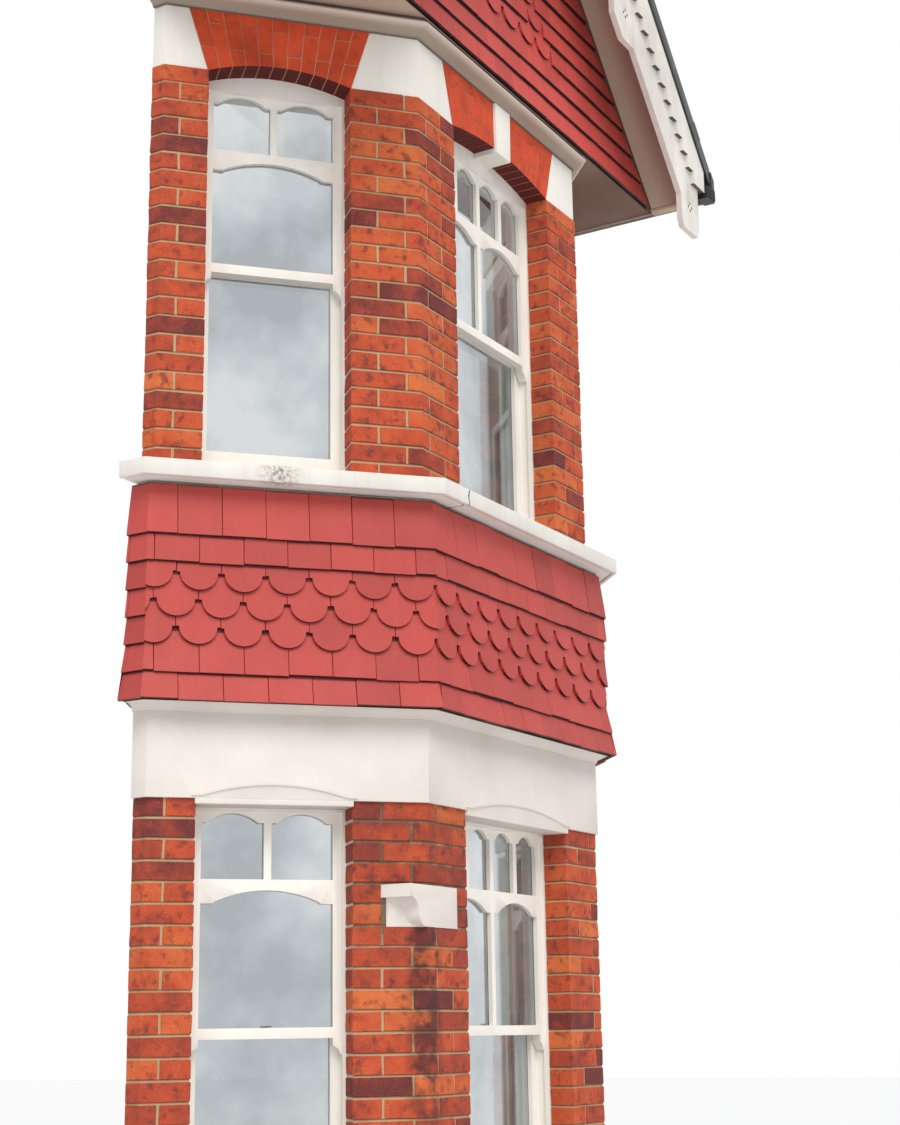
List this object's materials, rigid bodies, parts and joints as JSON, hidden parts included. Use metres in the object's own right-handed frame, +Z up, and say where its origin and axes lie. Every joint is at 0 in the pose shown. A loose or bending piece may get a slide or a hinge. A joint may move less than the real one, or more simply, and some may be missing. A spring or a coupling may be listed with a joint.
{
  "type": "two-storey gabled bay window",
  "caption": "Canted brick bay window of a terrace house, with sash windows, a tile-hung apron and a tile-hung gable behind shaped bargeboards.",
  "frame": {"origin": "ground level, in the middle of the whole object's footprint", "axes": "+Z up, -Y out to the street, +Y into the house, +X to the right seen from the street"},
  "size_m": [3.2646, 1.1224, 7.5627],
  "materials": {
    "brick": "matte",
    "arch_brick": "matte",
    "painted_stone": "satin",
    "cornice_paint": "satin",
    "painted_wood": "satin",
    "painted_tile": "satin",
    "soffit_board": "matte",
    "roof_tile": "matte",
    "black_plastic": "satin",
    "window_glass": "polished",
    "floor_timber": "matte"
  },
  "bodies": {
    "root": {"plinth_wall": "brick", "ground_sill": "painted_stone", "ground_floor": "floor_timber", "ground_corner_pier_left": "brick", "ground_corner_pier_right": "brick", "ground_end_pier_left": "brick", "ground_end_pier_right": "brick", "ground_window_front": "painted_wood", "ground_window_left": "painted_wood", "ground_window_right": "painted_wood", "ground_glass": "window_glass", "spandrel_wall": "brick", "storey_band": "painted_stone", "band_cove": "painted_stone", "corbel_stone": "painted_stone", "apron_tiles_front": "painted_tile", "apron_tiles_left": "painted_tile", "apron_tiles_right": "painted_tile", "first_floor": "floor_timber", "upper_sill": "painted_stone", "upper_corner_pier_left": "brick", "upper_corner_pier_right": "brick", "upper_end_pier_left": "brick", "upper_end_pier_right": "brick", "upper_window_front": "painted_wood", "upper_window_left": "painted_wood", "upper_window_right": "painted_wood", "upper_glass": "window_glass", "arch_front": "arch_brick", "arch_left": "arch_brick", "arch_right": "arch_brick", "springer_stones": "painted_stone", "keystone": "painted_stone", "head_wall": "brick", "cornice": "cornice_paint", "soffit": "soffit_board", "gable_wall": "floor_timber", "gable_tiles": "painted_tile", "verge_soffit_left": "soffit_board", "verge_soffit_right": "soffit_board", "bargeboard_left": "painted_wood", "bargeboard_right": "painted_wood", "verge_trim_left": "black_plastic", "verge_trim_right": "black_plastic", "roof_left": "roof_tile", "roof_right": "roof_tile", "ridge_tiles": "roof_tile", "eaves_fascias": "painted_wood", "gutters": "black_plastic"}
  },
  "joints": []
}
